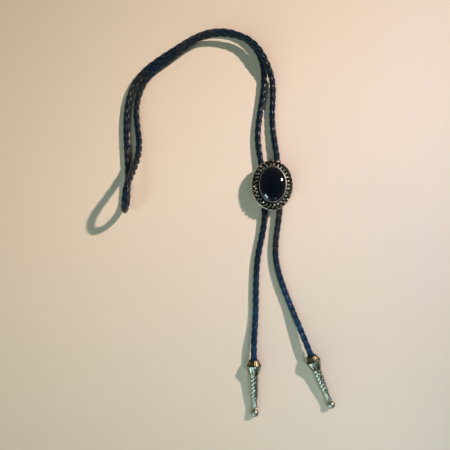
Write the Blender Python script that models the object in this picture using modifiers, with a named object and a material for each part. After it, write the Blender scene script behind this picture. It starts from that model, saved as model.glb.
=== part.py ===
"""Bolo tie lying loose on a surface: a braided leather cord looped through an oval slide.

Units are metres, +Z is up. The origin lies on the surface under the slide's centre,
+Y runs from the slide towards the neck loop and +X towards the right-hand tip.
"""
import math

import bmesh
import bpy
import numpy as np
from mathutils import Matrix, Vector

# Driving dimensions
CORD_DIAMETER = 0.0054
SEAT_GAP = 0.0003
STRAND_X = 0.0071          # each strand's distance from the slide's centre line
STRAND_Z = 0.0040          # height of the strands' axes inside the clasp
CLASP_SIZE = (0.0226, 0.0160, 0.0080)
CLASP_FLOOR = 0.0010
CLASP_TROUGH_WIDTH = 0.0064
CLASP_EDGE_ROUND = 0.0006
STONE_SEMI_AXES = (0.0110, 0.0146)
STONE_GIRDLE_HEIGHT = 0.0008
STONE_DOME_HEIGHT = 0.0038
FRAME_PLATE = 0.0007       # thickness of the plate under the stone
BEAD_COUNT = 30
BEAD_RADIUS = 0.00122
BEAD_OFFSET = 0.0046       # from the stone's edge to the ring of bead centres
PETAL_COUNT = 30
PETAL_OFFSET = 0.0023      # from the stone's edge to the ring of petal centres
PETAL_SEMI_AXES = (0.00125, 0.00085, 0.0008)
TIP_BORE_RADIUS = 0.0030
TIP_BORE_DEPTH = 0.0060
TIP_RIM_RADIUS = 0.00595
TIP_BALL_RADIUS = 0.0034
TIP_BALL_ALONG = 0.0452    # from the mouth of the tip to the ball's centre
TIP_RIM_ALONG = 0.0050     # from the mouth of the tip to its widest ring

RADIUS = CORD_DIAMETER / 2
CROSSING = RADIUS + CORD_DIAMETER + 0.0002   # axis height of a strand that lies on another

# Route of the cord's axis from inside the left tip to inside the right tip: x, y, z
CORD_ROUTE = (
    (-0.0150, -0.1506, 0.0059),
    (-0.0152, -0.1415, 0.0062),
    (-0.0136, -0.1097, RADIUS),
    (-0.0108, -0.0547, RADIUS),
    (-0.0058, -0.0238, 0.0032),
    (-0.0070, -0.0070, STRAND_Z),
    (-0.0074, 0.0090, STRAND_Z),
    (-0.0115, 0.0393, RADIUS),
    (-0.0092, 0.0653, RADIUS),
    (-0.0063, 0.0893, RADIUS),
    (-0.0088, 0.1083, RADIUS),
    (-0.0219, 0.1251, RADIUS),
    (-0.0504, 0.1306, RADIUS),
    (-0.0834, 0.1145, RADIUS),
    (-0.1146, 0.0883, RADIUS),
    (-0.1221, 0.0613, RADIUS),
    (-0.1212, 0.0193, RADIUS),
    (-0.1213, -0.0069, 0.0039),
    (-0.1216, -0.0135, 0.0047),
    (-0.1212, -0.0222, 0.0146),
    (-0.1189, -0.0191, 0.0251),
    (-0.1167, -0.0083, 0.0285),
    (-0.1152, 0.0019, 0.0228),
    (-0.1122, 0.0189, 0.0116),
    (-0.1113, 0.0358, 0.0046),
    (-0.1140, 0.0633, RADIUS),
    (-0.1070, 0.0881, 0.0036),
    (-0.0799, 0.1099, 0.0072),
    (-0.0574, 0.1244, 0.0079),
    (-0.0344, 0.1259, 0.0081),
    (-0.0174, 0.1191, CROSSING),
    (-0.0068, 0.1057, CROSSING),
    (0.0002, 0.0889, 0.0050),
    (0.0006, 0.0613, RADIUS),
    (0.0071, 0.0040, STRAND_Z),
    (0.0060, -0.0268, 0.0032),
    (0.0034, -0.0567, RADIUS),
    (0.0151, -0.0977, RADIUS),
    (0.0313, -0.1383, 0.0062),
    (0.0348, -0.1468, 0.0059),
)
STRAIGHT_CORD_STEP = 0.0162          # between the tube's points where the cord runs straight
BENT_CORD_STEP = math.radians(60)    # what a turn on the spot would take for one such step
FINE_CORD_STEPS = 3000

# Tips: the centre of the widest ring and of the ball, as they lie on the surface
TIP_SPOTS = {
    "tip_left": ((-0.0150, -0.1501), (-0.0142, -0.1905)),
    "tip_right": ((0.0346, -0.1463), (0.0497, -0.1832)),
}

# A tip's outside from the mouth: distance along, radius, petal depth, twist depth
TIP_STATIONS = (
    (0.0000, 0.00370, 0.0000, 0.0000),
    (0.0004, 0.00395, 0.0000, 0.0000),
    (0.0030, 0.00480, 0.0002, 0.0000),
    (0.0046, 0.00580, 0.0001, 0.0000),
    (TIP_RIM_ALONG, TIP_RIM_RADIUS, 0.0000, 0.0000),
    (0.0056, 0.00590, 0.0000, 0.0000),
    (0.0078, 0.00540, 0.0003, 0.0000),
    (0.0100, 0.00460, 0.0004, 0.0000),
    (0.0120, 0.00380, 0.0003, 0.0000),
    (0.0131, 0.00340, 0.0000, 0.0000),
)
TWIST_START = 0.0136
TWIST_END = 0.0326
TWIST_RADII = (0.00330, 0.00268)
TWIST_DEPTH = 0.00026
TWIST_PITCH = 0.00335
TWIST_STARTS = 3
TWIST_RINGS = 20
TIP_PETALS = 8
SHANK_STATIONS = (
    (0.0332, 0.00245, 0.0000, 0.0000),
    (0.0337, 0.00222, 0.0000, 0.0000),
    (0.0401, 0.00215, 0.0000, 0.0000),
    (0.0406, 0.00262, 0.0000, 0.0000),
    (0.0411, 0.00240, 0.0000, 0.0000),
    (0.0416, 0.00155, 0.0000, 0.0000),
)
TIP_SIDES = 20
BALL_RINGS = 6

OVAL_SEGMENTS = 48


def material(name, colour, roughness, metallic):
    made = bpy.data.materials.new(name)
    made.use_nodes = True
    shader = made.node_tree.nodes["Principled BSDF"]
    shader.inputs["Base Color"].default_value = (*colour, 1.0)
    shader.inputs["Roughness"].default_value = roughness
    shader.inputs["Metallic"].default_value = metallic
    return made


def object_from(mesh_builder, name, collection, surface=None):
    mesh = bpy.data.meshes.new(name)
    mesh_builder.normal_update()
    mesh_builder.to_mesh(mesh)
    mesh_builder.free()
    made = bpy.data.objects.new(name, mesh)
    collection.objects.link(made)
    if surface:
        mesh.materials.append(surface)
        mesh.shade_smooth()
        mesh.set_sharp_from_angle(angle=math.radians(40))
    return made


def make_cutter(made):
    made.hide_render = True
    made.display_type = "WIRE"
    return made


def boolean(target, other, operation):
    modifier = target.modifiers.new(other.name, "BOOLEAN")
    modifier.object = other
    modifier.operation = operation
    modifier.solver = "EXACT"


def ring_of(builder, points):
    verts = [builder.verts.new(point) for point in points]
    edges = [builder.edges.new((verts[i - 1], verts[i])) for i in range(len(verts))]
    return verts, edges


def loft(rings):
    """Closed skin through rings of points, with a flat cap at each end."""
    builder = bmesh.new()
    made = [ring_of(builder, ring) for ring in rings]
    for (_, lower), (_, upper) in zip(made, made[1:]):
        bmesh.ops.bridge_loops(builder, edges=lower + upper)
    builder.faces.new(made[0][0])
    builder.faces.new(made[-1][0])
    bmesh.ops.recalc_face_normals(builder, faces=builder.faces)
    return builder


def oval(offset, height, scale=1.0):
    """Ring of points at a distance outside the stone's edge, or a scaled copy of the edge."""
    across, along = (axis * scale + offset for axis in STONE_SEMI_AXES)
    turns = (2 * math.pi * i / OVAL_SEGMENTS for i in range(OVAL_SEGMENTS))
    return [(across * math.cos(turn), along * math.sin(turn), height) for turn in turns]


def spots_round_oval(offset, count):
    """Evenly spaced places on an oval, each with the direction in which it faces out."""
    across, along = (axis + offset for axis in STONE_SEMI_AXES)
    fine = np.linspace(0, 2 * math.pi, 721)
    x, y = across * np.cos(fine), along * np.sin(fine)
    travelled = np.concatenate(([0], np.cumsum(np.hypot(np.diff(x), np.diff(y)))))
    for i in range(count):
        turn = np.interp((i + 0.5) * travelled[-1] / count, travelled, fine)
        facing = math.atan2(math.sin(turn) / along, math.cos(turn) / across)
        yield across * math.cos(turn), along * math.sin(turn), facing


def smooth_curve(points):
    """Natural cubic spline through the points: returns its knots and a function of distance."""
    points = np.array(points)
    steps = np.linalg.norm(np.diff(points, axis=0), axis=1)
    knots = np.concatenate(([0], np.cumsum(steps)))
    count = len(points)
    system = np.eye(count)
    right = np.zeros((count, 3))
    for i in range(1, count - 1):
        system[i, i - 1:i + 2] = steps[i - 1], 2 * (steps[i - 1] + steps[i]), steps[i]
        rise = (points[i + 1] - points[i]) / steps[i] - (points[i] - points[i - 1]) / steps[i - 1]
        right[i] = 6 * rise
    bend = np.linalg.solve(system, right)

    def at(distance):
        i = min(int(np.searchsorted(knots, distance, side="right")) - 1, count - 2)
        span = steps[i]
        a, b = knots[i + 1] - distance, distance - knots[i]
        return (
            (bend[i] * a ** 3 + bend[i + 1] * b ** 3) / (6 * span)
            + (points[i] / span - bend[i] * span / 6) * a
            + (points[i + 1] / span - bend[i + 1] * span / 6) * b
        )

    return knots, at


def cord_points():
    """Points along the route, closer together where it bends."""
    knots, at = smooth_curve(CORD_ROUTE)
    fine = np.array([at(distance) for distance in np.linspace(0, knots[-1], FINE_CORD_STEPS)])
    fine[:, 2] = np.maximum(fine[:, 2], RADIUS)
    steps = np.diff(fine, axis=0)
    lengths = np.linalg.norm(steps, axis=1)
    ahead = steps / lengths[:, None]
    turned = np.arccos(np.clip((ahead[1:] * ahead[:-1]).sum(axis=1), -1, 1))
    effort = lengths / STRAIGHT_CORD_STEP
    effort[1:] += turned / BENT_CORD_STEP
    travelled = np.concatenate(([0], np.cumsum(effort)))
    stops = np.linspace(0, travelled[-1], math.ceil(travelled[-1]) + 1)
    return np.stack([np.interp(stops, travelled, fine[:, axis]) for axis in range(3)], axis=1)


def add_cord(collection):
    points = cord_points()
    curve = bpy.data.curves.new("cord", "CURVE")
    curve.dimensions = "3D"
    curve.bevel_depth = RADIUS
    curve.bevel_resolution = 4
    curve.use_fill_caps = True
    spline = curve.splines.new("POLY")
    spline.points.add(len(points) - 1)
    for slot, point in zip(spline.points, points):
        slot.co = (*point, 1.0)
    curve.materials.append(material("black_leather", (0.012, 0.014, 0.018), 0.42, 0.0))
    cord = bpy.data.objects.new("cord", curve)
    collection.objects.link(cord)
    return cord


def add_clasp(collection, cutters):
    """Block with a trough for each strand, which the slide's plate closes from above."""
    _, length, height = CLASP_SIZE
    builder = bmesh.new()
    bmesh.ops.create_cube(builder, size=1.0)
    bmesh.ops.scale(builder, vec=CLASP_SIZE, verts=builder.verts)
    bmesh.ops.translate(builder, vec=(0, 0, height / 2), verts=builder.verts)
    clasp = object_from(builder, "back_clasp", collection,
                        material("plain_brass", (0.33, 0.25, 0.13), 0.35, 1.0))
    rounded = clasp.modifiers.new("rounded", "BEVEL")
    rounded.width = CLASP_EDGE_ROUND
    rounded.segments = 1

    for side, name in ((-1, "left_trough"), (1, "right_trough")):
        trough = bmesh.new()
        bmesh.ops.create_cube(trough, size=1.0)
        bmesh.ops.scale(trough, vec=(CLASP_TROUGH_WIDTH, 2 * length, height), verts=trough.verts)
        middle = (side * STRAND_X, 0, CLASP_FLOOR + height / 2)
        bmesh.ops.translate(trough, vec=middle, verts=trough.verts)
        boolean(clasp, make_cutter(object_from(trough, name, cutters)), "DIFFERENCE")
    return clasp


def frame_section(base):
    """Half section of the cast frame from under its middle to the stone's seat: offset, height."""
    return (
        (0.0052, base),
        (0.0058, base + 0.0002),
        (0.0062, base + 0.0007),
        (0.0062, base + 0.0010),
        (0.0056, base + 0.0013),
        (0.0036, base + 0.0015),
        (0.0010, base + 0.0018),
        (0.0008, base + 0.0026),
        (0.0007, base + 0.0031),
        (0.0003, base + 0.0035),
        (-0.0001, base + 0.0036),
        (-0.0003, base + 0.0034),
        (0.0002, base + 0.0026),
        (0.0003, base + 0.0022),
        (0.0003, base + FRAME_PLATE),
    )


def add_frame(collection, cutters):
    base = CLASP_SIZE[2] + SEAT_GAP
    rings = [oval(offset, height) for offset, height in frame_section(base)]
    frame = object_from(loft(rings), "slide_frame", collection,
                        material("antique_brass", (0.24, 0.19, 0.11), 0.38, 1.0))

    beads = bmesh.new()
    for x, y, _ in spots_round_oval(BEAD_OFFSET, BEAD_COUNT):
        bmesh.ops.create_uvsphere(beads, u_segments=9, v_segments=6, radius=BEAD_RADIUS,
                                  matrix=Matrix.Translation((x, y, base + 0.0017)))
    boolean(frame, make_cutter(object_from(beads, "bead_ring", cutters)), "UNION")

    petals = bmesh.new()
    for x, y, facing in spots_round_oval(PETAL_OFFSET, PETAL_COUNT):
        place = Matrix.Translation((x, y, base + 0.0017)) @ Matrix.Rotation(facing, 4, "Z")
        bmesh.ops.create_uvsphere(petals, u_segments=7, v_segments=5, radius=1.0,
                                  matrix=place @ Matrix.Diagonal((*PETAL_SEMI_AXES, 1.0)))
    boolean(frame, make_cutter(object_from(petals, "petal_ring", cutters)), "UNION")
    return frame


def add_cabochon(collection):
    seat = CLASP_SIZE[2] + SEAT_GAP + FRAME_PLATE + SEAT_GAP
    shoulder = seat + STONE_GIRDLE_HEIGHT
    rings = [oval(-0.0004, seat), oval(0, seat + 0.0003), oval(0, shoulder)]
    dome_steps = 9
    for i in range(1, dome_steps):
        rise = math.pi / 2 * i / dome_steps
        rings.append(oval(0, shoulder + STONE_DOME_HEIGHT * math.sin(rise), scale=math.cos(rise)))
    builder = loft(rings)
    return object_from(builder, "cabochon", collection,
                       material("black_onyx", (0.004, 0.004, 0.006), 0.04, 0.0))


def tip_ring(along, radius, petal, twist):
    """One ring of a tip's outside, with its petals and its twisted ridges raised."""
    ring = []
    for i in range(TIP_SIDES):
        turn = 2 * math.pi * i / TIP_SIDES
        winding = TWIST_STARTS * turn - 2 * math.pi * along / TWIST_PITCH
        local = radius + petal * math.cos(TIP_PETALS * turn) + twist * math.cos(winding)
        ring.append((local * math.cos(turn), local * math.sin(turn), along))
    return ring


def tip_stations():
    yield from TIP_STATIONS
    for i in range(TWIST_RINGS + 1):
        share = i / TWIST_RINGS
        along = TWIST_START + (TWIST_END - TWIST_START) * share
        radius = TWIST_RADII[0] + (TWIST_RADII[1] - TWIST_RADII[0]) * share
        yield along, radius, 0.0, TWIST_DEPTH
    yield from SHANK_STATIONS
    for i in range(2, BALL_RINGS + 1):
        rise = math.pi * i / (BALL_RINGS + 1)
        yield TIP_BALL_ALONG - TIP_BALL_RADIUS * math.cos(rise), TIP_BALL_RADIUS * math.sin(rise), 0, 0


def add_tip(name, collection, cutters):
    """Hollow turned tip, laid with its widest ring and its ball on the surface."""
    builder = loft([tip_ring(*station) for station in tip_stations()])
    tip = object_from(builder, name, collection,
                      material(name + "_brass", (0.36, 0.36, 0.28), 0.3, 1.0))

    bore = bmesh.new()
    bmesh.ops.create_cone(bore, cap_ends=True, segments=TIP_SIDES, radius1=TIP_BORE_RADIUS,
                          radius2=TIP_BORE_RADIUS, depth=2 * TIP_BORE_DEPTH)
    socket = make_cutter(object_from(bore, name + "_socket", cutters))
    socket.parent = tip
    boolean(tip, socket, "DIFFERENCE")

    ring_spot, ball_spot = TIP_SPOTS[name]
    ball = Vector((*ball_spot, TIP_BALL_RADIUS))
    ring = Vector((*ring_spot, TIP_RIM_RADIUS))
    axis = (ball - ring).normalized()
    tip.location = ring - axis * TIP_RIM_ALONG
    tip.rotation_mode = "QUATERNION"
    tip.rotation_quaternion = axis.to_track_quat("Z", "Y")
    return tip


def main():
    for existing in list(bpy.data.objects):
        bpy.data.objects.remove(existing, do_unlink=True)
    bolo_tie = bpy.data.collections.new("bolo_tie")
    cutters = bpy.data.collections.new("cutters")
    for collection in (bolo_tie, cutters):
        bpy.context.scene.collection.children.link(collection)
    add_frame(bolo_tie, cutters)
    add_cabochon(bolo_tie)
    add_clasp(bolo_tie, cutters)
    add_cord(bolo_tie)
    for name in TIP_SPOTS:
        add_tip(name, bolo_tie, cutters)


main()
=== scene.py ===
import math

import bmesh
import bpy
import numpy as np
from mathutils import Matrix, Vector


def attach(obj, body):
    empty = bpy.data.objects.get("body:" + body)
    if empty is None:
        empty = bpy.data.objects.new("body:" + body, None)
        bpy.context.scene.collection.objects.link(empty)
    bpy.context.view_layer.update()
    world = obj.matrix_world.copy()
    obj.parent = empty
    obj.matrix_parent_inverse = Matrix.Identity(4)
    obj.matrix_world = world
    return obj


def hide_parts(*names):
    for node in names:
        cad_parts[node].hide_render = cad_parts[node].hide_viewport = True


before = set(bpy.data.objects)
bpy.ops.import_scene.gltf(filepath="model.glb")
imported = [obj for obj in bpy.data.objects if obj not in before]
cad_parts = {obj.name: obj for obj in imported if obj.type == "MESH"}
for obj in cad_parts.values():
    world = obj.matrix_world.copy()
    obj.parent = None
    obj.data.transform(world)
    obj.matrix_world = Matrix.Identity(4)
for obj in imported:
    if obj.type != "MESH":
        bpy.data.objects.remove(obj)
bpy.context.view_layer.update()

print("frame loaded:", sorted(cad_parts))

# lengths and places are in metres, unless a note says otherwise
fullTurn = 2 * math.pi


class Value:
    # wraps a socket, so that shader maths reads as plain arithmetic
    def __init__(self, nodes, socket):
        self.nodes, self.socket = nodes, socket

    def __add__(self, other):
        return self.nodes.maths("ADD", self, other)

    def __sub__(self, other):
        return self.nodes.maths("SUBTRACT", self, other)

    def __rsub__(self, other):
        return self.nodes.maths("SUBTRACT", other, self)

    def __mul__(self, other):
        return self.nodes.maths("MULTIPLY", self, other)

    __radd__ = __add__
    __rmul__ = __mul__


class Nodes:
    # the nodes of one tree, each made by node()
    def __init__(self, tree):
        self.tree = tree

    def set(self, socket, value):
        if isinstance(value, Value):
            self.tree.links.new(value.socket, socket)
        elif socket.type == "RGBA":
            socket.default_value = (*value, 1.0)
        else:
            socket.default_value = value

    def node(self, kind, settings, inputs, output=0):
        # inputs go from a socket's name or number to its value or link
        made = self.tree.nodes.new(kind)
        for name, value in settings.items():
            setattr(made, name, value)
        for place, value in inputs.items():
            self.set(made.inputs[place], value)
        return Value(self, made.outputs[output])

    def maths(self, operation, first, second):
        return self.node("ShaderNodeMath", {"operation": operation}, {0: first, 1: second})

    def between(self, value, low, high, start=0.0, end=1.0):
        # goes smoothly from start to end as the value goes from low to high
        inputs = dict(enumerate((value, low, high, start, end)))
        return self.node("ShaderNodeMapRange", {"interpolation_type": "SMOOTHSTEP"}, inputs)

    def blend(self, share, first, second):
        # the Mix node's colour sockets have these numbers
        return self.node("ShaderNodeMix", {"data_type": "RGBA"}, {0: share, 6: first, 7: second}, output=2)


class Finish(Nodes):
    # one material: what is the same all over sits on its shader's own sockets
    def __init__(self, name, sockets):
        self.material = bpy.data.materials.new(name)
        self.material.use_nodes = True
        super().__init__(self.material.node_tree)
        self.shader = self.tree.nodes["Principled BSDF"]
        self.paint(sockets)

    def paint(self, sockets):
        for name, value in sockets.items():
            self.set(self.shader.inputs[name], value)
        return self.material

    def place(self):
        return self.node("ShaderNodeTexCoord", {}, {}, output="Object")

    def attribute(self, name):
        return self.node("ShaderNodeAttribute", {"attribute_name": name}, {}, output="Fac")

    def noise(self, scale, detail, roughness, where=None):
        inputs = {"Vector": where or self.place(), "Scale": scale, "Detail": detail, "Roughness": roughness}
        return self.node("ShaderNodeTexNoise", {}, inputs)

    def sway(self, noise, share):
        # the noise as a change up and down, about its middle
        return (noise - 0.5) * share

    def bump(self, height, distance, strength):
        inputs = {"Height": height, "Distance": distance, "Strength": strength}
        self.paint({"Normal": self.node("ShaderNodeBump", {}, inputs)})


def dressPiece(data, name, node, material, sharpAngle):
    # the mesh becomes a smooth-shaded object that stands for its CAD node
    data.shade_smooth()
    data.set_sharp_from_angle(angle=math.radians(sharpAngle))
    data.materials.clear()
    data.materials.append(material)
    piece = bpy.data.objects.new(name, data)
    bpy.context.scene.collection.objects.link(piece)
    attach(piece, "root")
    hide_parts(node)
    return piece


def finishPiece(mesh, name, node, material, sharpAngle):
    bmesh.ops.recalc_face_normals(mesh, faces=mesh.faces)
    data = bpy.data.meshes.new(name)
    mesh.to_mesh(data)
    mesh.free()
    dressPiece(data, name, node, material, sharpAngle)


def edgesOf(verts):
    # each edge once, always in the same order
    return list(dict.fromkeys(edge for vert in verts for edge in vert.link_edges))


def onlyVerts(parts):
    return [part for part in parts if isinstance(part, bmesh.types.BMVert)]


# camera: it looks straight down from above a place in the lower half of its frame
camera = {
    "metresPerPixel": 0.00085,        # on the surface, from the stone's standard size
    "frameWidth": 450,                # pixels, and as high as wide
    "slidePixel": (271.15, 187.95),   # where the origin lies in the frame
    "lensPixel": (225.0, 300.0),      # what lies straight below the lens
    "height": 0.367,
    "nearest": 0.01,
    "sensor": 36.0,                   # mm
}


def addCamera():
    width, pixel = camera["frameWidth"], camera["metresPerPixel"]
    (lensX, lensY), (slideX, slideY) = camera["lensPixel"], camera["slidePixel"]
    data = bpy.data.cameras.new("camera")
    data.sensor_width = camera["sensor"]
    data.lens = camera["sensor"] * camera["height"] / (width * pixel)
    data.clip_start = camera["nearest"]
    data.shift_x = (width / 2 - lensX) / width
    data.shift_y = (lensY - width / 2) / width
    seen = bpy.data.objects.new("camera", data)
    seen.location = ((lensX - slideX) * pixel, (slideY - lensY) * pixel, camera["height"])
    bpy.context.scene.collection.objects.link(seen)
    bpy.context.scene.camera = seen
    print("camera placed")


addCamera()

# stage: a plain pale floor, a dim studio round it and soft lights
stage = {
    "floorSize": 4.0,
    "floorDrop": 0.00005,                     # keeps the floor just under what lies on it
    "floorColour": (0.72, 0.60, 0.45),
    "floorRoughness": 0.7,
    "wallLight": (0.12, 0.12, 0.09),          # at the horizon
    "ceilingLight": (0.006, 0.025, 0.045),    # straight overhead
    "glowFrom": (-0.60, -0.76, 0.26),         # a pale wall beyond the lower left corner
    "glowLight": (2.4, 3.3, 3.2),
    "glowFocus": 12.0,                        # higher makes it smaller
}
# spot is where a light stands and aim where it points; spread is in degrees, power in watts
lights = {
    "key": {
        "spot": (0.834, 0.511, 0.778), "aim": (-0.110, 0.010, 0), "size": 0.05, "spread": 49.1,
        "power": 1.54, "colour": (1.0, 0.77, 0.69), "glossy": True,
    },
    # it cools one side of the key's pool of light, and adds no highlight of its own
    "keyCool": {
        "spot": (0.834, 0.511, 0.778), "aim": (0.195, 0.025, 0), "size": 0.05, "spread": 31.8,
        "power": 0.21, "colour": (0.01, 0.38, 1.0), "glossy": False,
    },
    "window": {
        "spot": (-0.36, -0.30, 0.65), "aim": (0, 0, 0), "size": 0.23, "spread": 180,
        "power": 1.08, "colour": (0.7, 1.0, 0.95), "glossy": True,
    },
    "low": {
        "spot": (0.31, -0.43, 0.86), "aim": (0.10, -0.24, 0), "size": 0.03, "spread": 40,
        "power": 0.14, "colour": (0.62, 0.82, 1.0), "glossy": True,
    },
}


def addFloor():
    mesh = bmesh.new()
    bmesh.ops.create_grid(mesh, x_segments=1, y_segments=1, size=stage["floorSize"] / 2)
    bmesh.ops.translate(mesh, vec=(0, 0, -stage["floorDrop"]), verts=mesh.verts)
    data = bpy.data.meshes.new("floor")
    mesh.to_mesh(data)
    mesh.free()
    sockets = {"Base Color": stage["floorColour"], "Roughness": stage["floorRoughness"]}
    data.materials.append(Finish("plainFloor", sockets).material)
    floor = bpy.data.objects.new("floor", data)
    bpy.context.scene.collection.objects.link(floor)


def addStudio():
    # the walls are brighter than the ceiling, so that polished tops stay dark
    world = bpy.data.worlds.new("studio")
    world.use_nodes = True
    nodes = Nodes(world.node_tree)
    direction = nodes.node("ShaderNodeTexCoord", {}, {}, output="Generated")
    height = nodes.node("ShaderNodeSeparateXYZ", {}, {0: direction}, output="Z")
    room = nodes.blend(height, stage["wallLight"], stage["ceilingLight"])
    pair = {0: direction, 1: Vector(stage["glowFrom"]).normalized()}
    facing = nodes.node("ShaderNodeVectorMath", {"operation": "DOT_PRODUCT"}, pair, output="Value")
    glow = nodes.maths("POWER", nodes.maths("MAXIMUM", facing, 0.0), stage["glowFocus"])
    light = nodes.blend(glow, room, stage["glowLight"])
    nodes.set(world.node_tree.nodes["Background"].inputs["Color"], light)
    bpy.context.scene.world = world


def addLights():
    for name, light in lights.items():
        data = bpy.data.lights.new(name, "AREA")
        data.size = light["size"]
        data.spread = math.radians(light["spread"])
        data.energy = light["power"]
        data.color = light["colour"]
        lamp = bpy.data.objects.new(name, data)
        lamp.location = light["spot"]
        beam = Vector(light["aim"]) - Vector(light["spot"])
        lamp.rotation_euler = beam.to_track_quat("-Z", "Y").to_euler()
        lamp.visible_glossy = light["glossy"]
        bpy.context.scene.collection.objects.link(lamp)


def addStage():
    addFloor()
    addStudio()
    addLights()
    bpy.context.scene.view_settings.view_transform = "Standard"
    print("stage and lights placed")


addStage()

# cord: one braided leather cord from tip to tip
cord = {
    "diameter": 0.0054,
    "crossingGap": 0.0002,
    "claspHeight": 0.0040,    # of the cord's axis inside the clasp
    "pathSteps": 900,
    "fineness": 8,            # finer steps in each of those, while the path is worked out
    "lays": 74,               # full turns of a strand along the whole cord
    "strandWidth": 0.0058,    # measured along the cord
    "strandThickness": 0.0015,
    "strandRadius": 0.00132,  # from the cord's axis to a strand's middle
    "weave": 0.00063,         # how far a strand rises over and dips under
    "innermost": 0.0001,      # no strand comes closer to the axis
    "squareness": 0.62,       # of a strand's section: 1 is an ellipse, 0 a rectangle
    "sides": 10,
    "stepsPerLay": 22,
    "coreRadius": 0.0012,
    "coreSides": 8,
    "mergeWithin": 0.00001,
    "sharpAngle": 75,         # degrees
    # finish: each noise is its scale, detail and roughness
    "gloss": 0.2,
    "glossTint": (1.0, 0.93, 0.75),
    "grain": (2600, 4.0, 0.6),
    "mottle": (160, 3.0, 0.5),
    "wear": (18, 2.0, 0.5),
    "black": ((0.001, 0.005, 0.010), (0.002, 0.020, 0.046)),
    "worn": (0.5, 0.66),      # worn patches come in as the wear goes from here to there
    "wornShare": 0.6,
    "wornColour": (0.022, 0.023, 0.020),
    "paintedBlueLight": (-0.050, -0.110),               # painted blue light: the lower end of the cord is made bluer, as a bluish lamp below would light it; it comes in from this y to that
    "paintedBlueLightPatches": (0.4, 0.6, 0.35, 1.0),    # as the mottle goes from here to there, share from and to
    "paintedBlueLightColour": (0.002, 0.040, 0.104),
    "edge": (0.55, 1.0),                    # the part of a strand's half width that is its edge
    # the strands' edges get a painted warm olive reflection
    "paintedEdgeReflectionShare": 0.6,
    "paintedEdgeReflectionColour": (0.034, 0.027, 0.017),
    "roughness": (0.3, 0.7, 0.18, 0.28),    # as the mottle goes from here to there, from and to
    "edgeRoughness": 0.15,
    "bumpShares": (0.4, 0.6),               # grain and mottle
    "bump": (0.00008, 0.5),                 # depth and strength
}
cordRadius = cord["diameter"] / 2
tableTop = cordRadius                       # height of the axis where the cord lies on the surface
crossing = cordRadius + cord["diameter"] + cord["crossingGap"]
strandHeight = cord["claspHeight"]
cordRoute = [
    (-0.0150, -0.1506, 0.0059), (-0.0152, -0.1415, 0.0062), (-0.0136, -0.1097, tableTop),
    (-0.0108, -0.0547, tableTop), (-0.0058, -0.0238, 0.0032), (-0.0070, -0.0070, strandHeight),
    (-0.0074, 0.0090, strandHeight), (-0.0115, 0.0393, tableTop), (-0.0092, 0.0653, tableTop),
    (-0.0063, 0.0893, tableTop), (-0.0088, 0.1083, tableTop), (-0.0219, 0.1251, tableTop),
    (-0.0504, 0.1306, tableTop), (-0.0834, 0.1145, tableTop), (-0.1146, 0.0883, tableTop),
    (-0.1221, 0.0613, tableTop), (-0.1212, 0.0193, tableTop), (-0.1213, -0.0069, 0.0039),
    (-0.1216, -0.0135, 0.0047), (-0.1212, -0.0222, 0.0146), (-0.1189, -0.0191, 0.0251),
    (-0.1167, -0.0083, 0.0285), (-0.1152, 0.0019, 0.0228), (-0.1122, 0.0189, 0.0116),
    (-0.1113, 0.0358, 0.0046), (-0.1140, 0.0633, tableTop), (-0.1070, 0.0881, 0.0036),
    (-0.0799, 0.1099, 0.0072), (-0.0574, 0.1244, 0.0079), (-0.0344, 0.1259, 0.0081),
    (-0.0174, 0.1191, crossing), (-0.0068, 0.1057, crossing), (0.0002, 0.0889, 0.0050),
    (0.0006, 0.0613, tableTop), (0.0071, 0.0040, strandHeight), (0.0060, -0.0268, 0.0032),
    (0.0034, -0.0567, tableTop), (0.0151, -0.0977, tableTop), (0.0313, -0.1383, 0.0062),
    (0.0348, -0.1468, 0.0059),
]


def stepLengths(spots):
    return np.linalg.norm(np.diff(spots, axis=0), axis=1)


def addUp(steps):
    # the distance gone before the first step and after each one
    return np.concatenate(([0], np.cumsum(steps)))


def smoothCurve(points, count):
    # a natural cubic spline through the points, as evenly spaced places along it, and its length
    points = np.array(points)
    steps = stepLengths(points)
    knots = addUp(steps)
    system, right = np.eye(len(points)), np.zeros((len(points), 3))
    for i in range(1, len(points) - 1):
        system[i, i - 1:i + 2] = steps[i - 1], 2 * (steps[i - 1] + steps[i]), steps[i]
        rise = (points[i + 1] - points[i]) / steps[i] - (points[i] - points[i - 1]) / steps[i - 1]
        right[i] = 6 * rise
    bend = np.linalg.solve(system, right)
    along = np.linspace(0, knots[-1], cord["fineness"] * count)
    i = np.clip(np.searchsorted(knots, along, side="right") - 1, 0, len(points) - 2)
    span = steps[i][:, None]
    ahead, behind = (knots[i + 1] - along)[:, None], (along - knots[i])[:, None]
    fine = (bend[i] * ahead ** 3 + bend[i + 1] * behind ** 3) / (6 * span)
    start, end = points[i] / span - bend[i] * span / 6, points[i + 1] / span - bend[i + 1] * span / 6
    fine += start * ahead + end * behind
    fine[:, 2] = np.maximum(fine[:, 2], tableTop)    # never into the surface
    travelled = addUp(stepLengths(fine))
    length = travelled[-1]
    even = np.linspace(0, length, count)
    return np.stack([np.interp(even, travelled, fine[:, axis]) for axis in range(3)], axis=1), length


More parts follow.
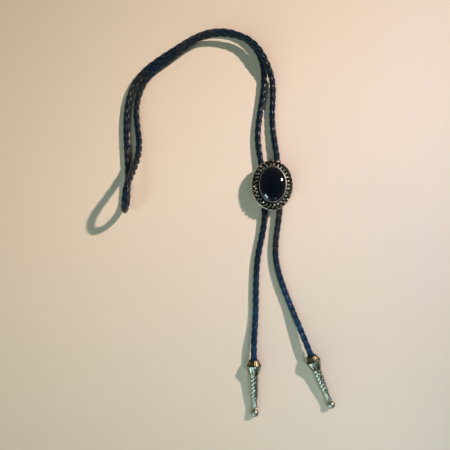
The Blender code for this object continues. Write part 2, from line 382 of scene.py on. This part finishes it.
def leatherFinish():
    finish = Finish("blackLeather", {"Specular IOR Level": cord["gloss"], "Specular Tint": cord["glossTint"]})
    grain, mottle, wear = (finish.noise(*cord[name]) for name in ("grain", "mottle", "wear"))
    down = finish.node("ShaderNodeSeparateXYZ", {}, {0: finish.place()}, output="Y")
    edge = finish.between(finish.attribute("acrossStrand"), *cord["edge"])
    worn = finish.between(wear, *cord["worn"])
    # painted blue light: towards the bottom, in patches, the cord turns bluer
    paintedBlueLight = finish.between(down, *cord["paintedBlueLight"]) * finish.between(mottle, *cord["paintedBlueLightPatches"])
    colour = finish.blend(mottle, *cord["black"])
    colour = finish.blend(worn * cord["wornShare"], colour, cord["wornColour"])
    # the painted blue light on the lower end of the cord
    colour = finish.blend(paintedBlueLight, colour, cord["paintedBlueLightColour"])
    # painted warm reflection along each strand's edge, which is also rougher
    colour = finish.blend(edge * cord["paintedEdgeReflectionShare"], colour, cord["paintedEdgeReflectionColour"])
    roughness = finish.between(mottle, *cord["roughness"]) + edge * cord["edgeRoughness"]
    grainShare, mottleShare = cord["bumpShares"]
    finish.bump(grain * grainShare + mottle * mottleShare, *cord["bump"])
    return finish.paint({"Base Color": colour, "Roughness": roughness})


def addStrand(mesh, across, start, turn, lay):
    # a flat strip wound once round the cord's axis, which runs along X
    made = bmesh.ops.create_circle(mesh, segments=cord["sides"], radius=1.0)["verts"]
    for vert in made:
        x, y = vert.co.x, vert.co.y
        vert[across] = abs(x)
        wide = math.copysign(abs(x) ** cord["squareness"], x) * cord["strandWidth"] / 2
        thick = math.copysign(abs(y) ** cord["squareness"], y) * cord["strandThickness"] / 2
        vert.co = (wide, cord["strandRadius"] + thick, 0)
    bmesh.ops.rotate(mesh, cent=(0, 0, 0), matrix=Matrix.Rotation(start, 3, "X"), verts=made)
    step = lay / cord["stepsPerLay"]
    bmesh.ops.spin(mesh, geom=made + edgesOf(made), cent=(0, 0, 0), axis=(1, 0, 0), dvec=(step, 0, 0),
                   angle=turn * fullTurn, steps=cord["stepsPerLay"], use_duplicate=False)


def addStrandPair(unit, turn, lay):
    # two strands that wind the same way, rising over and dipping under those that wind the other way
    strands = bmesh.new()
    across = strands.verts.layers.float.new("acrossStrand")
    for start in (0, math.pi):
        addStrand(strands, across, start, turn, lay)
    for vert in strands.verts:
        radius = math.hypot(vert.co.y, vert.co.z)
        angle = math.atan2(vert.co.z, vert.co.y)
        moved = max(radius + turn * cord["weave"] * math.cos(2 * angle), cord["innermost"])
        vert.co.y, vert.co.z = vert.co.y * moved / radius, vert.co.z * moved / radius
    bmesh.ops.recalc_face_normals(strands, faces=strands.faces)
    kept = bpy.data.meshes.new("strands")
    strands.to_mesh(kept)
    strands.free()
    unit.from_mesh(kept)
    bpy.data.meshes.remove(kept)


def braidUnit(lay):
    # one lay of the braid: two pairs of strands round a plain core
    unit = bmesh.new()
    unit.verts.layers.float.new("acrossStrand")
    for turn in (1, -1):
        addStrandPair(unit, turn, lay)
    core = bmesh.ops.create_circle(unit, segments=cord["coreSides"], radius=cord["coreRadius"])["verts"]
    bmesh.ops.rotate(unit, cent=(0, 0, 0), matrix=Matrix.Rotation(math.pi / 2, 3, "Y"), verts=core)
    wall = bmesh.ops.extrude_edge_only(unit, edges=edgesOf(core))["geom"]
    bmesh.ops.translate(unit, vec=(lay, 0, 0), verts=onlyVerts(wall))
    return unit


def addGuide(path):
    curve = bpy.data.curves.new("cordPath", "CURVE")
    curve.dimensions = "3D"
    curve.twist_mode = "MINIMUM"
    spline = curve.splines.new("POLY")
    spline.points.add(len(path) - 1)
    spline.points.foreach_set("co", np.c_[path, np.ones(len(path))].ravel())
    return bpy.data.objects.new("cordPath", curve)


def layBraid(path, lay):
    # one lay of the braid is repeated along the cord and bent to its path
    data = bpy.data.meshes.new("braidedCord")
    unit = braidUnit(lay)
    unit.to_mesh(data)
    unit.free()
    braid, guide = bpy.data.objects.new("braid", data), addGuide(path)
    for made in (braid, guide):
        bpy.context.scene.collection.objects.link(made)
    repeated = braid.modifiers.new("repeated", "ARRAY")
    repeated.count = cord["lays"]
    repeated.use_relative_offset = False
    repeated.use_constant_offset = True
    repeated.constant_offset_displace = (lay, 0, 0)
    repeated.use_merge_vertices = True
    repeated.merge_threshold = cord["mergeWithin"]
    laid = braid.modifiers.new("laid", "CURVE")
    laid.object = guide
    laid.deform_axis = "POS_X"
    whole = bpy.data.meshes.new_from_object(braid.evaluated_get(bpy.context.evaluated_depsgraph_get()))
    for made in (braid, guide):
        bpy.data.objects.remove(made)
    return whole


def addCord():
    path, length = smoothCurve(cordRoute, cord["pathSteps"])
    whole = layBraid(path, length / cord["lays"])
    piece = dressPiece(whole, "braidedCord", "cord", leatherFinish(), cord["sharpAngle"])
    print("cord laid:", round(length, 4), "m,", len(whole.polygons), "faces")


addCord()

# slide: a cast oval frame with a beaded border round the stone's bezel
slide = {
    "base": 0.0083,                        # height of the frame's back, from which other heights count
    "stoneSemiAxes": (0.0110, 0.0146),     # every offset counts outwards from the stone's edge
    "segments": 180,
    "evenSteps": 1440,                     # for finding evenly spaced places on an oval
    "sharpAngle": 35,                      # degrees
    "beads": 30,
    "beadRadius": 0.00120,
    "beadFlatness": 0.68,                  # a bead's height over its width
    "beadOffset": 0.0046,
    "beadHeight": 0.0021,
    "beadFaces": (18, 12),                 # around and from bottom to top
    "loops": 30,
    "loopOffset": 0.0024,
    "loopSemiAxes": (0.00098, 0.00068),
    "loopHeight": 0.00165,
    "loopWire": 0.00030,
    "loopSteps": 18,
    "wireSides": 12,
    "seedSemiAxes": (0.00078, 0.00052, 0.00020),
    "seedTilt": 20,                        # degrees, leaning out from the stone
    "seedFaces": (12, 8),
    "scallop": 0.00014,                    # the rim follows the beads
    "scallopFrom": 0.0045,
    "lip": (0.00045, 0.0030),              # the bezel's edge lies inside this offset, above this height
    # profile from under the plate, round the rim and the bezel, to the stone's seat:
    # offset, height, how rubbed the patina is
    "profile": [
        (0.0052, 0.0000, 0.3), (0.0058, 0.0001, 0.4), (0.0061, 0.0004, 0.6), (0.0062, 0.0007, 0.7),
        (0.0061, 0.0009, 0.7), (0.0058, 0.0012, 0.68), (0.0057, 0.0012, 0.0), (0.0046, 0.0011, 0.0),
        (0.0039, 0.0012, 0.0), (0.0036, 0.0015, 0.3), (0.0034, 0.0015, 0.3), (0.0032, 0.0012, 0.0),
        (0.0022, 0.0011, 0.0), (0.0013, 0.0012, 0.0), (0.0010, 0.0016, 0.1), (0.0008, 0.0026, 0.2),
        (0.0006, 0.0032, 0.2), (0.0004, 0.0035, 0.4), (0.0002, 0.0036, 1.0), (0.0000, 0.0036, 1.0),
        (-0.0002, 0.0034, 0.6), (-0.0002, 0.0032, 0.1), (0.0002, 0.0026, 0.1), (0.0003, 0.0022, 0.0),
        (0.0003, 0.0007, 0.0),
    ],
    # how rubbed the relief is: at its middle height, and how much more at its top
    "beadRubbed": (-1.3, 2.2),
    "wireRubbed": (-1.2, 2.2),
    "seedRubbed": 0.6,
    # finish: each noise is its scale, detail and roughness
    "wear": (420, 4.0, 0.6),
    "pits": (2400, 3.0, 0.6),
    "wearSway": 0.7,
    "shine": (0.45, 0.85),                 # from here to there the rubbed brass shows
    "patina": ((0.004, 0.005, 0.004), (0.018, 0.018, 0.014)),
    "brass": ((0.58, 0.55, 0.43), (0.80, 0.76, 0.63)),
    "satinColour": (0.36, 0.36, 0.37),
    "roughness": 0.42,                     # of the patina
    "shineSmooths": 0.29,
    "satinRoughens": 0.24,
    "pitsSway": 0.06,
    "bumpShares": (0.5, 0.5),              # pits and wear
    "bump": (0.00010, 0.25),               # depth and strength
}


def semiAxes(offset):
    return [axis + offset for axis in slide["stoneSemiAxes"]]


def travelledRound(across, along, turns):
    # the distance round an oval from the first of these turns to each
    x, y = across * np.cos(turns), along * np.sin(turns)
    return addUp(np.hypot(np.diff(x), np.diff(y)))


def spotsRoundOval(offset, count, start):
    # evenly spaced places on an oval, each with the direction in which it faces out
    across, along = semiAxes(offset)
    turns = np.linspace(0, fullTurn, slide["evenSteps"] + 1)
    travelled = travelledRound(across, along, turns)
    for i in range(count):
        turn = np.interp((i + start) * travelled[-1] / count, travelled, turns)
        facing = math.atan2(math.sin(turn) / along, math.cos(turn) / across)
        yield across * math.cos(turn), along * math.sin(turn), facing


def addBorder(mesh, rubbed, satin):
    # the frame itself: an oval for each line of the profile, bridged to the next
    lipOffset, lipHeight = slide["lip"]
    ovals = []
    for offset, height, wear in slide["profile"]:
        oval = Matrix.Diagonal((*semiAxes(offset), 1, 1))
        place = Matrix.Translation((0, 0, slide["base"] + height)) @ oval
        verts = bmesh.ops.create_circle(mesh, segments=slide["segments"], radius=1, matrix=place)["verts"]
        for vert in verts:
            vert[rubbed] = wear
            vert[satin] = float(offset < lipOffset and height > lipHeight)
        ovals.append(edgesOf(verts))
    for lower, upper in zip(ovals, ovals[1:]):
        bmesh.ops.bridge_loops(mesh, edges=lower + upper)
    for end in (ovals[0], ovals[-1]):
        bmesh.ops.edgeloop_fill(mesh, edges=end)


def scallopRim(mesh):
    # the outer rim swells beside each bead and draws in between them
    across, along = semiAxes(slide["beadOffset"])
    turns = np.linspace(-math.pi, math.pi, slide["evenSteps"] + 1)
    travelled = travelledRound(across, along, turns)
    innerAcross, innerAlong = semiAxes(slide["scallopFrom"])
    for vert in mesh.verts:
        if math.hypot(vert.co.x / innerAcross, vert.co.y / innerAlong) > 1:
            turn = math.atan2(vert.co.y / along, vert.co.x / across)
            share = np.interp(turn, turns, travelled) / travelled[-1]
            swell = -math.cos(fullTurn * slide["beads"] * share) * slide["scallop"]
            vert.co += Vector((vert.co.x, vert.co.y, 0)).normalized() * swell


def rubTops(verts, rubbed, middle, reach, rubbing):
    atMiddle, more = rubbing
    for vert in verts:
        vert[rubbed] = more * (vert.co.z - middle.z) / reach + atMiddle


def addBead(mesh, rubbed, x, y):
    middle = Vector((x, y, slide["base"] + slide["beadHeight"]))
    place = Matrix.Translation(middle) @ Matrix.Diagonal((1, 1, slide["beadFlatness"], 1))
    around, upward = slide["beadFaces"]
    bead = bmesh.ops.create_uvsphere(mesh, u_segments=around, v_segments=upward, radius=slide["beadRadius"],
                                     matrix=place)["verts"]
    rubTops(bead, rubbed, middle, slide["beadRadius"] * slide["beadFlatness"], slide["beadRubbed"])


def addLoop(mesh, rubbed, x, y, facing):
    # one oval loop of wire with a seed inside it
    middle = Vector((x, y, slide["base"] + slide["loopHeight"]))
    place = Matrix.Translation(middle) @ Matrix.Rotation(facing, 4, "Z")
    across, along = slide["loopSemiAxes"]
    section = Matrix.Translation((1, 0, 0)) @ Matrix.Rotation(math.pi / 2, 4, "X")
    verts = bmesh.ops.create_circle(mesh, segments=slide["wireSides"], radius=slide["loopWire"] / along,
                                    matrix=section)["verts"]
    bmesh.ops.spin(mesh, geom=verts + edgesOf(verts), cent=(0, 0, 0), axis=(0, 0, 1), angle=fullTurn,
                   steps=slide["loopSteps"], use_merge=True, use_duplicate=False)
    ring = connectedVerts(verts)
    bmesh.ops.transform(mesh, matrix=place @ Matrix.Diagonal((across, along, along, 1)), verts=ring)
    rubTops(ring, rubbed, middle, slide["loopWire"], slide["wireRubbed"])
    tilt = Matrix.Rotation(math.radians(slide["seedTilt"]), 4, "Y")
    seedPlace = place @ tilt @ Matrix.Diagonal((*slide["seedSemiAxes"], 1))
    around, upward = slide["seedFaces"]
    seed = bmesh.ops.create_uvsphere(mesh, u_segments=around, v_segments=upward, radius=1.0, matrix=seedPlace)
    for vert in seed["verts"]:
        vert[rubbed] = slide["seedRubbed"]


def connectedVerts(verts):
    # every point that can be reached from these along edges
    found = dict.fromkeys(verts)
    waiting = list(verts)
    while waiting:
        for edge in waiting.pop().link_edges:
            for vert in edge.verts:
                if vert not in found:
                    found[vert] = None
                    waiting.append(vert)
    return list(found)


def castFinish():
    finish = Finish("antiquedBrass", {"Metallic": 1.0})
    rubbed, satin = finish.attribute("rubbed"), finish.attribute("satin")
    wear, pits = finish.noise(*slide["wear"]), finish.noise(*slide["pits"])
    shine = finish.between(rubbed + finish.sway(wear, slide["wearSway"]), *slide["shine"])
    patina = finish.blend(wear, *slide["patina"])
    brass = finish.blend(satin, finish.blend(wear, *slide["brass"]), slide["satinColour"])
    roughness = slide["roughness"] - shine * slide["shineSmooths"] + satin * slide["satinRoughens"]
    roughness += finish.sway(pits, slide["pitsSway"])
    pitsShare, wearShare = slide["bumpShares"]
    finish.bump(pits * pitsShare + wear * wearShare, *slide["bump"])
    return finish.paint({"Base Color": finish.blend(shine, patina, brass), "Roughness": roughness})


def addSlide():
    mesh = bmesh.new()
    rubbed, satin = (mesh.verts.layers.float.new(name) for name in ("rubbed", "satin"))
    addBorder(mesh, rubbed, satin)
    scallopRim(mesh)
    for x, y, _ in spotsRoundOval(slide["beadOffset"], slide["beads"], start=0.5):
        addBead(mesh, rubbed, x, y)
    for x, y, facing in spotsRoundOval(slide["loopOffset"], slide["loops"], start=0.0):
        addLoop(mesh, rubbed, x, y, facing)
    finishPiece(mesh, "castFrame", "slide_frame", castFinish(), slide["sharpAngle"])
    print("slide modelled")


addSlide()

# stone: a polished black cabochon under the bezel's edge
stone = {
    "seat": 0.0093,
    "shoulder": 0.0101,       # where the dome starts
    "domeHeight": 0.0038,
    "around": 128,
    "upward": 64,
    "mergeWithin": 0.000001,
    "sharpAngle": 60,         # degrees
    # finish: each noise is its scale, detail and roughness
    "ior": 1.56,
    "gloss": 0.9,
    "cloud": (120, 3.0, 0.5),
    "smudge": (320, 2.0, 0.5),
    "black": ((0.0012, 0.0012, 0.0022), (0.0035, 0.0038, 0.0065)),
    "roughness": 0.025,
    "smudgeRoughens": 0.035,
}


def onyxFinish():
    finish = Finish("blackOnyx", {"IOR": stone["ior"], "Specular IOR Level": stone["gloss"]})
    cloud, smudge = finish.noise(*stone["cloud"]), finish.noise(*stone["smudge"])
    roughness = stone["roughness"] + smudge * stone["smudgeRoughens"]
    return finish.paint({"Base Color": finish.blend(cloud, *stone["black"]), "Roughness": roughness})


def addStone():
    mesh = bmesh.new()
    shoulder = (0, 0, stone["shoulder"])
    dome = Matrix.Translation(shoulder) @ Matrix.Diagonal((*slide["stoneSemiAxes"], stone["domeHeight"], 1))
    bmesh.ops.create_uvsphere(mesh, u_segments=stone["around"], v_segments=stone["upward"], radius=1,
                              matrix=dome)
    everything = mesh.verts[:] + mesh.edges[:] + mesh.faces[:]
    bmesh.ops.bisect_plane(mesh, geom=everything, dist=stone["mergeWithin"], plane_co=shoulder,
                           plane_no=(0, 0, 1), clear_inner=True)
    girdle = [edge for edge in mesh.edges if edge.is_boundary]
    wall = bmesh.ops.extrude_edge_only(mesh, edges=girdle)["geom"]
    bmesh.ops.translate(mesh, vec=(0, 0, stone["seat"] - stone["shoulder"]), verts=onlyVerts(wall))
    bmesh.ops.edgeloop_fill(mesh, edges=[edge for edge in mesh.edges if edge.is_boundary])
    finishPiece(mesh, "onyxCabochon", "cabochon", onyxFinish(), stone["sharpAngle"])
    print("stone modelled")


addStone()

# tips: turned and chased metal ends, each lying on its widest ring and its ball
tips = {
    # centre of the widest ring and of the ball, as x and y
    "spots": {
        "tip_left": ((-0.0150, -0.1501), (-0.0142, -0.1905)),
        "tip_right": ((0.0346, -0.1463), (0.0497, -0.1832)),
    },
    "sides": 160,
    "mergeWithin": 0.000002,
    "sharpAngle": 40,                 # degrees
    "rimRadius": 0.00595,
    "rimAlong": 0.0050,               # every place along a tip counts from its mouth
    "ballRadius": 0.0034,
    "ballAlong": 0.0452,
    "ballSteps": 16,
    "boreRadius": 0.0030,
    "boreDepth": 0.0060,
    "collar": (0.0004, 0.0046),       # the stretch with fine ribs
    "collarFade": 0.0008,
    "collarRibs": 16,
    "ribDepth": 0.00016,
    "bell": (0.0053, 0.0128),         # the stretch with petals
    "petals": 8,
    "petalDepth": 0.00026,
    "petalTaper": 1.5,                # higher keeps the petals wide for longer
    "petalSquareness": 4,
    "petalFloor": 0.6,                # how deep the ground between the petals lies, as a share of their depth
    "petalRib": (0.55, 0.07),         # height and half width of the rib along a petal's edge
    "petalNarrowest": 0.02,
    "petalFades": (0.08, 0.06),       # shares of the stretch, at the rim and at the points
    "twist": (0.0134, 0.0328),        # the stretch with twisted ridges
    "twistFade": 0.0006,
    "twistRadii": (0.00330, 0.00268),
    "twistDepth": 0.00016,
    "twistPitch": 0.00335,
    "twistStarts": 3,
    "twistSteps": 64,
    # turned profile from the mouth to the ridges, and from them to the ball: along, radius
    "mouth": [
        (0.0003, 0.0030), (0.0000, 0.0033), (0.0000, 0.0037), (0.0003, 0.00393), (0.0016, 0.00435),
        (0.0030, 0.00485), (0.0041, 0.00545), (0.0047, 0.00586), (0.0050, 0.00595), (0.0053, 0.00594),
        (0.0057, 0.00589), (0.0062, 0.00580), (0.0067, 0.00569), (0.0072, 0.00556), (0.0077, 0.00542),
        (0.0082, 0.00526), (0.0087, 0.00509), (0.0092, 0.00491), (0.0097, 0.00472), (0.0102, 0.00452),
        (0.0107, 0.00432), (0.0112, 0.00412), (0.0117, 0.00393), (0.0122, 0.00374), (0.0127, 0.00355),
        (0.0131, 0.00340),
    ],
    "shank": [
        (0.0331, 0.00250), (0.0335, 0.00226), (0.0342, 0.00218), (0.0368, 0.00215), (0.0396, 0.00215),
        (0.0401, 0.00220), (0.0403, 0.00248), (0.0406, 0.00264), (0.0409, 0.00260), (0.0412, 0.00232),
        (0.0415, 0.00175), (0.0418, 0.00155),
    ],
    # how rubbed the metal is at its turned surface, and half of the change from groove to top
    "rubbedPlain": 0.5,
    "rubbedCollar": 0.2,
    "rubbedRibs": 0.05,
    "rubbedChange": 0.5,
    # finish: each noise is its scale, detail and roughness
    "tint": (0.35, 0.35, 0.28),       # of the reflections seen edge on
    "wear": (500, 4.0, 0.6),
    "scratches": (3000, 2.0, 0.5),
    "wearSway": 0.45,
    "bright": (0.18, 0.62),           # from here to there the bright metal shows
    "polished": (0.55, 0.95),         # from here to there it is polished by wear
    "dark": ((0.045, 0.052, 0.042), (0.085, 0.092, 0.075)),
    "pale": ((0.40, 0.42, 0.36), (0.51, 0.53, 0.46)),
    "giltColour": (0.50, 0.35, 0.16),
    "roughness": 0.43,                # in the grooves
    "brightSmooths": 0.12,
    "polishSmooths": 0.13,
    "scratchesSway": 0.06,
    "bumpShares": (0.4, 0.6),         # scratches and wear
    "bump": (0.00005, 0.4),           # depth and strength
}


def tipProfile():
    # along and radius, from the bottom of the bore to the end of the ball
    yield tips["boreDepth"], 0.0
    yield tips["boreDepth"], tips["boreRadius"]
    yield from tips["mouth"]
    start, end = tips["twist"]
    wide, narrow = tips["twistRadii"]
    for i in range(tips["twistSteps"] + 1):
        share = i / tips["twistSteps"]
        yield start + (end - start) * share, wide + (narrow - wide) * share
    yield from tips["shank"]
    neckRadius = tips["shank"][-1][1]
    lowest = math.asin(neckRadius / tips["ballRadius"])
    for i in range(1, tips["ballSteps"] + 1):
        rise = lowest + (math.pi - lowest) * i / tips["ballSteps"]
        reach = 0.0 if i == tips["ballSteps"] else tips["ballRadius"] * math.sin(rise)
        yield tips["ballAlong"] - tips["ballRadius"] * math.cos(rise), reach


def fadeOut(fromStart, fromEnd, startFade, endFade):
    # relief runs out to nothing at both ends of its stretch
    return min(1, fromStart / startFade, fromEnd / endFade)


def collarRelief(turn, along):
    start, end = tips["collar"]
    fade = fadeOut(along - start, end - along, tips["collarFade"], tips["collarFade"])
    return tips["ribDepth"] * fade * (2 * abs(math.cos(tips["collarRibs"] * turn / 2)) - 1)


def petalRelief(turn, along):
    # rounded petals that start wide at the rim and end in a point, each with a ribbed edge
    start, end = tips["bell"]
    share = (along - start) / (end - start)
    aside = abs((turn * tips["petals"] / fullTurn + 0.5) % 1 - 0.5)
    width = 0.5 * (1 - share ** tips["petalTaper"])
    inside = 1 - min(1, aside / max(width, tips["petalNarrowest"])) ** tips["petalSquareness"]
    ribHeight, ribWidth = tips["petalRib"]
    rib = max(0, 1 - abs(aside - width) / ribWidth)
    fade = fadeOut(share, 1 - share, *tips["petalFades"])
    return tips["petalDepth"] * fade * (inside - tips["petalFloor"] + ribHeight * rib)


def twistRelief(turn, along):
    # a rope of round-backed ridges with narrow grooves between them
    start, end = tips["twist"]
    fade = fadeOut(along - start, end - along, tips["twistFade"], tips["twistFade"])
    wave = math.cos(tips["twistStarts"] * turn - fullTurn * along / tips["twistPitch"])
    return tips["twistDepth"] * fade * (2 * math.sqrt(0.5 + 0.5 * wave) - 1)


def isWithin(along, stretch):
    return stretch[0] < along < stretch[1]


def chase(vert, relief, gilt):
    # raises or sinks one point of the turned surface, and says how rubbed and how golden it is
    radius, turn, along = math.hypot(vert.co.x, vert.co.y), math.atan2(vert.co.y, vert.co.x), vert.co.z
    inCollar = along < tips["rimAlong"]
    vert[gilt] = float(inCollar)
    vert[relief] = tips["rubbedCollar"] if inCollar else tips["rubbedPlain"]
    raised, depth, rubbed = 0.0, tips["twistDepth"], tips["rubbedPlain"]
    if isWithin(along, tips["collar"]):
        raised, depth, rubbed = collarRelief(turn, along), tips["ribDepth"], tips["rubbedRibs"]
    elif isWithin(along, tips["bell"]) and radius > tips["boreRadius"]:
        raised, depth = petalRelief(turn, along), tips["petalDepth"]
    elif isWithin(along, tips["twist"]):
        raised = twistRelief(turn, along)
    if raised:
        vert[relief] = rubbed + tips["rubbedChange"] * raised / depth
        vert.co.x *= (radius + raised) / radius
        vert.co.y *= (radius + raised) / radius


def tipFinish():
    finish = Finish("paleBrass", {"Metallic": 1.0, "Specular Tint": tips["tint"]})
    relief, gilt = finish.attribute("relief"), finish.attribute("gilt")
    wear, scratches = finish.noise(*tips["wear"]), finish.noise(*tips["scratches"])
    bright = finish.between(relief + finish.sway(wear, tips["wearSway"]), *tips["bright"])
    polished = finish.between(relief, *tips["polished"])
    dark = finish.blend(wear, *tips["dark"])
    pale = finish.blend(gilt, finish.blend(wear, *tips["pale"]), tips["giltColour"])
    roughness = tips["roughness"] - bright * tips["brightSmooths"] - polished * tips["polishSmooths"]
    roughness += finish.sway(scratches, tips["scratchesSway"])
    scratchesShare, wearShare = tips["bumpShares"]
    finish.bump(scratches * scratchesShare + wear * wearShare, *tips["bump"])
    return finish.paint({"Base Color": finish.blend(bright, dark, pale), "Roughness": roughness})


def addTip(node, material):
    mesh = bmesh.new()
    relief, gilt = (mesh.verts.layers.float.new(name) for name in ("relief", "gilt"))
    last = None
    for along, radius in tipProfile():
        vert = mesh.verts.new((radius, 0, along))
        if last:
            mesh.edges.new((last, vert))
        last = vert
    bmesh.ops.spin(mesh, geom=mesh.verts[:] + mesh.edges[:], cent=(0, 0, 0), axis=(0, 0, 1),
                   angle=fullTurn, steps=tips["sides"], use_merge=True, use_duplicate=False)
    bmesh.ops.remove_doubles(mesh, verts=mesh.verts, dist=tips["mergeWithin"])
    for vert in mesh.verts:
        chase(vert, relief, gilt)
    ringSpot, ballSpot = tips["spots"][node]
    ball = Vector((*ballSpot, tips["ballRadius"]))
    ring = Vector((*ringSpot, tips["rimRadius"]))
    axis = (ball - ring).normalized()
    mouth = Matrix.Translation(ring - axis * tips["rimAlong"])
    place = mouth @ axis.to_track_quat("Z", "Y").to_matrix().to_4x4()
    bmesh.ops.transform(mesh, matrix=place, verts=mesh.verts)
    finishPiece(mesh, node.replace("tip_", "chased_tip_"), node, material, tips["sharpAngle"])


def addTips():
    material = tipFinish()
    for node in tips["spots"]:
        addTip(node, material)
    print("tips modelled")


addTips()

# clasp: its own shape is right, so it only gets its finish
clasp = {
    # each noise is its scale, detail and roughness
    "brushing": (300, 6000, 6000),    # how fine the brushed lines are along x, y and z
    "lines": (1.0, 4.0, 0.6),
    "wear": (300, 3.0, 0.5),
    "brass": ((0.40, 0.31, 0.17), (0.55, 0.44, 0.26)),
    "roughness": 0.28,
    "linesRoughen": 0.16,
    "bump": (0.00003, 0.4),           # depth and strength
}


def claspFinish():
    finish = Finish("satinBrass", {"Metallic": 1.0})
    brushed = finish.node("ShaderNodeMapping", {}, {"Vector": finish.place(), "Scale": clasp["brushing"]})
    lines = finish.noise(*clasp["lines"], where=brushed)
    wear = finish.noise(*clasp["wear"])
    finish.bump(lines, *clasp["bump"])
    roughness = clasp["roughness"] + lines * clasp["linesRoughen"]
    return finish.paint({"Base Color": finish.blend(wear, *clasp["brass"]), "Roughness": roughness})


def dressClasp():
    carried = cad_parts["back_clasp"].data
    carried.materials.clear()
    carried.materials.append(claspFinish())
    print("clasp finished")


dressClasp()
